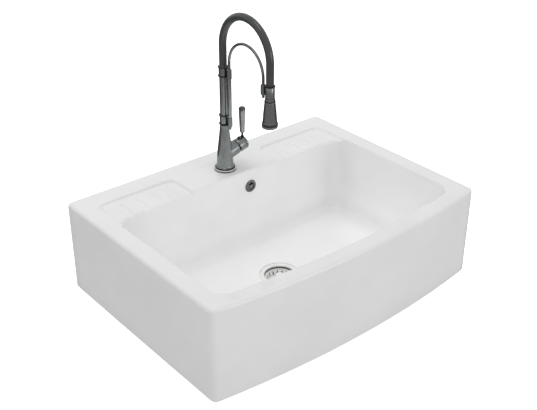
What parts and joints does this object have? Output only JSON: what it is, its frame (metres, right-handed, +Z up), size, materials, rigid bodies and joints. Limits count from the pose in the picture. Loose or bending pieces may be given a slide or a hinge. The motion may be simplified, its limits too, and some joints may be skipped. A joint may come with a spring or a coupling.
{
  "type": "kitchen sink with mixer tap",
  "caption": "Bowed-front ceramic butler sink with a ribbed tap ledge, basket waste, overflow and a tall mixer tap with an arched hose, guide rod, spray head and side lever.",
  "frame": {"origin": "on the sink's flat underside, in the middle of its width and 200 mm in front of its rear face", "axes": "+X to the right seen from the front, along the sink's width; -Y towards the bowed front; +Z up"},
  "size_m": [0.8, 0.6, 0.7389],
  "materials": {
    "glaze": "white glaze, glossy",
    "pewter": "dark gunmetal plating, soft shine",
    "polished_steel": "polished",
    "steel": "satin",
    "rubber": "matt black",
    "hose_jacket": "smooth dark jacket, slight shine",
    "dark_fittings": "black, slight shine",
    "white_plastic": "moulded, matt",
    "brass": "turned, unlacquered",
    "valve_ceramic": "ground flat"
  },
  "bodies": {
    "sink": {"sink_body": "glaze", "overflow_ring": "pewter", "overflow_screw": "steel", "overflow_seal": "rubber", "overflow_elbow": "white_plastic", "overflow_pipe": "white_plastic", "waste_flange": "steel", "waste_seal": "rubber", "waste_gasket": "rubber", "waste_trap_body": "white_plastic", "waste_screw": "steel", "tap_base_ring": "pewter", "tap_base_seal": "rubber", "tap_body": "pewter", "tap_shank": "brass", "tap_washer": "rubber", "tap_backplate": "steel", "tap_nut": "brass", "swivel_seals": "rubber", "cartridge_shell": "white_plastic", "cartridge_nut": "dark_fittings", "valve_disc_fixed": "valve_ceramic"},
    "basket": {"strainer_basket": "steel", "basket_knob": "steel", "basket_stopper": "rubber"},
    "cartridge_rotor": {"cartridge_rotor": "dark_fittings", "rotor_pin": "steel", "valve_disc_moving": "valve_ceramic"},
    "lever": {"cartridge_spindle": "steel", "handle_hub": "pewter", "hub_stud": "dark_fittings", "lever_stem": "dark_fittings", "lever_grip": "polished_steel", "grip_cap": "polished_steel"},
    "spout": {"lower_collar": "pewter", "riser_tube": "pewter", "upper_collar": "pewter", "rod_screws": "dark_fittings", "guide_rod": "polished_steel", "hose_nipple_rear": "brass", "hose": "hose_jacket", "hose_nipple_front": "brass", "head_holder": "pewter"},
    "spray_head": {"head_nut": "pewter", "spray_shell": "pewter", "spray_ring": "rubber", "nozzle_plate": "dark_fittings"}
  },
  "joints": [
    {"name": "spout_swivel", "type": "hinge", "parent": "sink", "child": "spout", "pos_m": [0, 0.102, 0.365], "axis": [0, 0, 1], "continuous": true},
    {"name": "head_turn", "type": "hinge", "parent": "spout", "child": "spray_head", "pos_m": [0, -0.0723, 0.478], "axis": [0, 0, 1], "continuous": true},
    {"name": "mixer_turn", "type": "hinge", "parent": "sink", "child": "cartridge_rotor", "pos_m": [0.038, 0.102, 0.28477], "axis": [0.9744, 0, 0.225], "range_deg": [-40, 40]},
    {"name": "mixer_lift", "type": "hinge", "parent": "cartridge_rotor", "child": "lever", "pos_m": [0.038, 0.102, 0.28477], "axis": [0, 1, 0], "range_deg": [0, 20]},
    {"name": "strainer_lift", "type": "slide", "parent": "sink", "child": "basket", "axis": [0, 0, 1], "range_m": [0, 0.06]}
  ]
}
